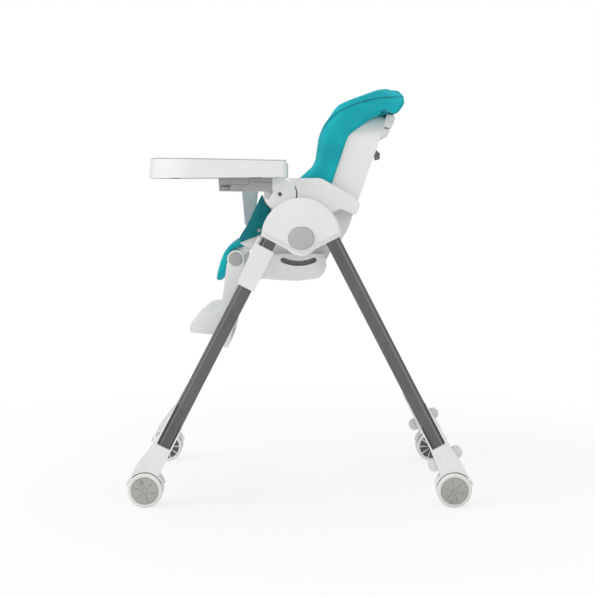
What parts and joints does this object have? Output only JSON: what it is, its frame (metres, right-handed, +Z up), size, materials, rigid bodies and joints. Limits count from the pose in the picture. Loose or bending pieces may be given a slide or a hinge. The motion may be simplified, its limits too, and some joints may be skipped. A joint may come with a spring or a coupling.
{
  "type": "baby high chair",
  "caption": "Folding baby high chair with castors, a height-sliding reclining bucket seat in soft cushions, leg rest and swing-up sliding tray.",
  "frame": {"origin": "centre of the footprint on the floor, midway between the wheels and on the plane of symmetry", "axes": "+Z up, the sitter faces -Y, +X is the sitter's left"},
  "size_m": [0.555, 0.8664, 1.0444],
  "materials": {
    "frame_tube": "satin powder coat",
    "white_plastic": "fine satin moulding",
    "pale_plastic": "fine satin moulding",
    "grey_plastic": "satin moulding",
    "dark_plastic": "satin moulding",
    "wheel_tread": "smooth moulded tread",
    "steel": "bright pin",
    "teal_fabric": "soft wipe-clean coated cloth with fine grain"
  },
  "bodies": {
    "front_frame": {"front_leg_left": "frame_tube", "front_leg_right": "frame_tube", "front_bar": "frame_tube", "hub_housing_left": "white_plastic", "hub_housing_right": "white_plastic", "hub_cover_left": "white_plastic", "hub_cover_right": "white_plastic", "hub_back_left": "white_plastic", "hub_back_right": "white_plastic", "foot_front_left": "white_plastic", "foot_front_right": "white_plastic", "front_axles": "steel"},
    "rear_frame": {"rear_leg_left": "frame_tube", "rear_leg_right": "frame_tube", "rear_bar": "frame_tube", "knuckle_left": "pale_plastic", "knuckle_right": "pale_plastic", "foot_rear_left": "white_plastic", "foot_rear_right": "white_plastic", "rear_pins": "steel"},
    "seat": {"seat_tub": "white_plastic", "under_pan": "pale_plastic", "carrier_left": "white_plastic", "carrier_right": "white_plastic", "armrest_left": "white_plastic", "armrest_right": "white_plastic", "seat_cushion": "teal_fabric", "seat_flap_left": "teal_fabric", "seat_flap_right": "teal_fabric", "seat_studs": "steel"},
    "backrest": {"back_shell": "white_plastic", "back_cushion": "teal_fabric", "bolster_left": "teal_fabric", "bolster_right": "teal_fabric"},
    "recline_lever": {"recline_lever": "dark_plastic"},
    "leg_rest": {"leg_rest": "white_plastic", "foot_plate": "white_plastic", "calf_pad": "teal_fabric"},
    "tray_arms": {"tray_arm_left": "white_plastic", "tray_arm_right": "white_plastic", "tray_rail_left": "grey_plastic", "tray_rail_right": "grey_plastic"},
    "tray": {"tray": "white_plastic", "crotch_post": "pale_plastic"},
    "tray_insert": {"tray_insert": "white_plastic"},
    "fold_button_left": {"fold_button_left": "grey_plastic"},
    "rest_button_left": {"rest_button_left": "grey_plastic"},
    "brake_left": {"brake_left": "pale_plastic"},
    "fold_button_right": {"fold_button_right": "grey_plastic"},
    "rest_button_right": {"rest_button_right": "grey_plastic"},
    "brake_right": {"brake_right": "pale_plastic"},
    "wheel_front_left": {"wheel_front_left": "wheel_tread", "caps_front_left": "grey_plastic"},
    "wheel_front_right": {"wheel_front_right": "wheel_tread", "caps_front_right": "grey_plastic"},
    "wheel_rear_left": {"wheel_rear_left": "wheel_tread", "caps_rear_left": "grey_plastic"},
    "wheel_rear_right": {"wheel_rear_right": "wheel_tread", "caps_rear_right": "grey_plastic"}
  },
  "joints": [
    {"name": "fold", "type": "hinge", "parent": "front_frame", "child": "rear_frame", "pos_m": [0, 0.0035, 0.672], "axis": [-1, 0, 0], "range_deg": [0, 50]},
    {"name": "seat_height", "type": "slide", "parent": "front_frame", "child": "seat", "axis": [0, 0.4594, 0.8882], "range_m": [-0.17, 0]},
    {"name": "recline", "type": "hinge", "parent": "seat", "child": "backrest", "pos_m": [0, 0.008, 0.66], "axis": [-1, 0, 0], "range_deg": [0, 28]},
    {"name": "recline_lever", "type": "hinge", "parent": "backrest", "child": "recline_lever", "pos_m": [0, 0.19595, 0.88518], "axis": [1, 0, 0], "range_deg": [0, 20], "stiffness_Nm_per_rad": 0.5},
    {"name": "leg_rest", "type": "hinge", "parent": "seat", "child": "leg_rest", "pos_m": [0, -0.162, 0.615], "axis": [-1, 0, 0], "range_deg": [0, 50]},
    {"name": "tray_swing", "type": "hinge", "parent": "seat", "child": "tray_arms", "pos_m": [0, -0.0487, 0.7785], "axis": [-1, 0, 0], "range_deg": [0, 45]},
    {"name": "tray_slide", "type": "slide", "parent": "tray_arms", "child": "tray", "axis": [0, -1, 0], "range_m": [0, 0.05]},
    {"name": "insert_lift", "type": "slide", "parent": "tray", "child": "tray_insert", "axis": [0, 0, 1], "range_m": [0, 0.05]},
    {"name": "fold_button_left", "type": "slide", "parent": "front_frame", "child": "fold_button_left", "axis": [-1, 0, 0], "range_m": [0, 0.004], "stiffness_N_per_m": 600},
    {"name": "rest_button_left", "type": "slide", "parent": "leg_rest", "child": "rest_button_left", "axis": [-1, 0, 0], "range_m": [0, 0.003], "stiffness_N_per_m": 500},
    {"name": "brake_left", "type": "hinge", "parent": "rear_frame", "child": "brake_left", "pos_m": [0.245, 0.36333, 0.12], "axis": [1, 0, 0], "range_deg": [-12, 12]},
    {"name": "fold_button_right", "type": "slide", "parent": "front_frame", "child": "fold_button_right", "axis": [1, 0, 0], "range_m": [0, 0.004], "stiffness_N_per_m": 600},
    {"name": "rest_button_right", "type": "slide", "parent": "leg_rest", "child": "rest_button_right", "axis": [1, 0, 0], "range_m": [0, 0.003], "stiffness_N_per_m": 500},
    {"name": "brake_right", "type": "hinge", "parent": "rear_frame", "child": "brake_right", "pos_m": [-0.245, 0.36333, 0.12], "axis": [1, 0, 0], "range_deg": [-12, 12]},
    {"name": "roll_front_left", "type": "hinge", "parent": "front_frame", "child": "wheel_front_left", "pos_m": [0.245, -0.38569, 0.0435], "axis": [1, 0, 0], "continuous": true},
    {"name": "roll_front_right", "type": "hinge", "parent": "front_frame", "child": "wheel_front_right", "pos_m": [-0.245, -0.38569, 0.0435], "axis": [1, 0, 0], "continuous": true},
    {"name": "roll_rear_left", "type": "hinge", "parent": "rear_frame", "child": "wheel_rear_left", "pos_m": [0.245, 0.38569, 0.0435], "axis": [1, 0, 0], "continuous": true},
    {"name": "roll_rear_right", "type": "hinge", "parent": "rear_frame", "child": "wheel_rear_right", "pos_m": [-0.245, 0.38569, 0.0435], "axis": [1, 0, 0], "continuous": true}
  ]
}
